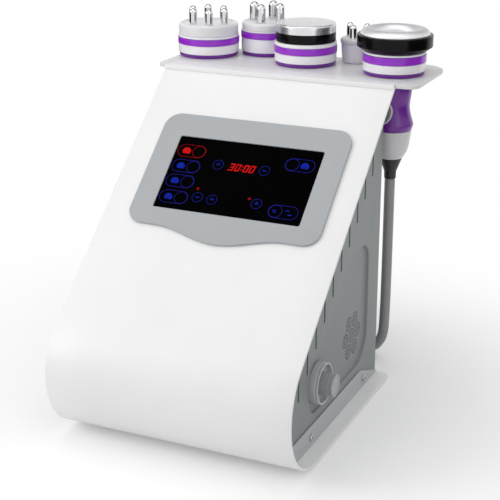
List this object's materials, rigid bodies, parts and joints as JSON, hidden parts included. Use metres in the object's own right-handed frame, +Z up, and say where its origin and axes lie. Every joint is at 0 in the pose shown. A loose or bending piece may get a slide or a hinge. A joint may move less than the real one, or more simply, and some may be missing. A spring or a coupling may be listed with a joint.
{
  "type": "body care machine",
  "caption": "Bench-top body-care machine: bent slanted cover with a touch screen, grey side panels, a rear tray of round handpieces and a suction hose.",
  "frame": {"origin": "on the table, under the middle of the machine's outline from above, handpieces included and hose coil left out", "axes": "+Z up, +X to the right seen from the front, +Y to the back; the screen faces -Y and up"},
  "size_m": [0.3354, 0.4846, 0.4339],
  "materials": {
    "white_paint": "satin",
    "grey_paint": "satin",
    "rail_paint": "satin",
    "tray_plastic": "satin",
    "bezel_plastic": "satin",
    "glass_black": "gloss",
    "board_green": "matte",
    "supply_steel": "satin",
    "black_plastic": "satin",
    "purple_plastic": "gloss",
    "white_plastic": "gloss",
    "pale_plastic": "satin",
    "chrome": "polished",
    "rubber": "matte",
    "hose_rubber": "satin",
    "filter_plastic": "satin"
  },
  "bodies": {
    "chassis": {"front_cover": "white_paint", "left_side_panel": "grey_paint", "right_side_panel": "grey_paint", "rear_panel": "grey_paint", "left_base_rail": "rail_paint", "right_base_rail": "rail_paint", "rail_screw_front_left": "supply_steel", "rail_screw_rear_left": "supply_steel", "rail_screw_front_right": "supply_steel", "rail_screw_rear_right": "supply_steel", "handpiece_tray": "tray_plastic", "screen_bezel": "bezel_plastic", "touch_panel": "glass_black", "control_board": "board_green", "driver_board": "board_green", "power_supply": "supply_steel", "vacuum_pump": "black_plastic", "fan_frame": "black_plastic", "inlet_module": "black_plastic", "socket_strip": "black_plastic", "filter_housing": "filter_plastic", "foot_front_left": "rubber", "foot_front_right": "rubber", "foot_rear_left": "rubber", "foot_rear_right": "rubber", "vacuum_hose": "hose_rubber", "vacuum_hose_coil": "hose_rubber", "vacuum_hose_tail": "hose_rubber", "vacuum_hose_plug": "black_plastic"},
    "six_pin_handpiece": {"six_pin_grip": "purple_plastic", "six_pin_tail": "pale_plastic", "six_pin_body": "white_plastic", "six_pin_band": "purple_plastic", "six_pin_cap": "pale_plastic", "six_pin_pins": "chrome"},
    "four_pin_handpiece": {"four_pin_grip": "purple_plastic", "four_pin_tail": "pale_plastic", "four_pin_body": "white_plastic", "four_pin_band": "purple_plastic", "four_pin_cap": "pale_plastic", "four_pin_pins": "chrome"},
    "cavitation_handpiece": {"cavitation_grip": "purple_plastic", "cavitation_tail": "pale_plastic", "cavitation_body": "white_plastic", "cavitation_band": "purple_plastic", "cavitation_collar": "black_plastic", "cavitation_disc": "chrome"},
    "facial_handpiece": {"facial_grip": "pale_plastic", "facial_cap": "pale_plastic", "facial_pins": "chrome"},
    "vacuum_handpiece": {"vacuum_grip": "purple_plastic", "vacuum_tail": "pale_plastic", "vacuum_body": "white_plastic", "vacuum_band": "purple_plastic", "vacuum_ring": "black_plastic", "vacuum_cup": "chrome", "vacuum_relief": "rubber"},
    "fan_rotor": {"fan_rotor": "black_plastic"},
    "rocker": {"rocker_switch": "black_plastic"},
    "filter_cup": {"filter_cup": "filter_plastic"}
  },
  "joints": [
    {"name": "six_pin_lift", "type": "slide", "parent": "chassis", "child": "six_pin_handpiece", "axis": [0, 0, 1], "range_m": [0, 0.13]},
    {"name": "four_pin_lift", "type": "slide", "parent": "chassis", "child": "four_pin_handpiece", "axis": [0, 0, 1], "range_m": [0, 0.13]},
    {"name": "cavitation_lift", "type": "slide", "parent": "chassis", "child": "cavitation_handpiece", "axis": [0, 0, 1], "range_m": [0, 0.13]},
    {"name": "facial_lift", "type": "slide", "parent": "chassis", "child": "facial_handpiece", "axis": [0, 0, 1], "range_m": [0, 0.12]},
    {"name": "vacuum_lift", "type": "slide", "parent": "chassis", "child": "vacuum_handpiece", "axis": [0, 0, 1], "range_m": [0, 0.15]},
    {"name": "fan_spin", "type": "hinge", "parent": "chassis", "child": "fan_rotor", "pos_m": [0.1119, 0.01669, 0.0835], "axis": [1, 0, 0], "continuous": true},
    {"name": "rocker_tilt", "type": "hinge", "parent": "chassis", "child": "rocker", "pos_m": [0.078, 0.098, 0.1005], "axis": [1, 0, 0], "range_deg": [-16, 0]},
    {"name": "filter_cup_pull", "type": "slide", "parent": "chassis", "child": "filter_cup", "axis": [1, 0, 0], "range_m": [0, 0.04]}
  ]
}
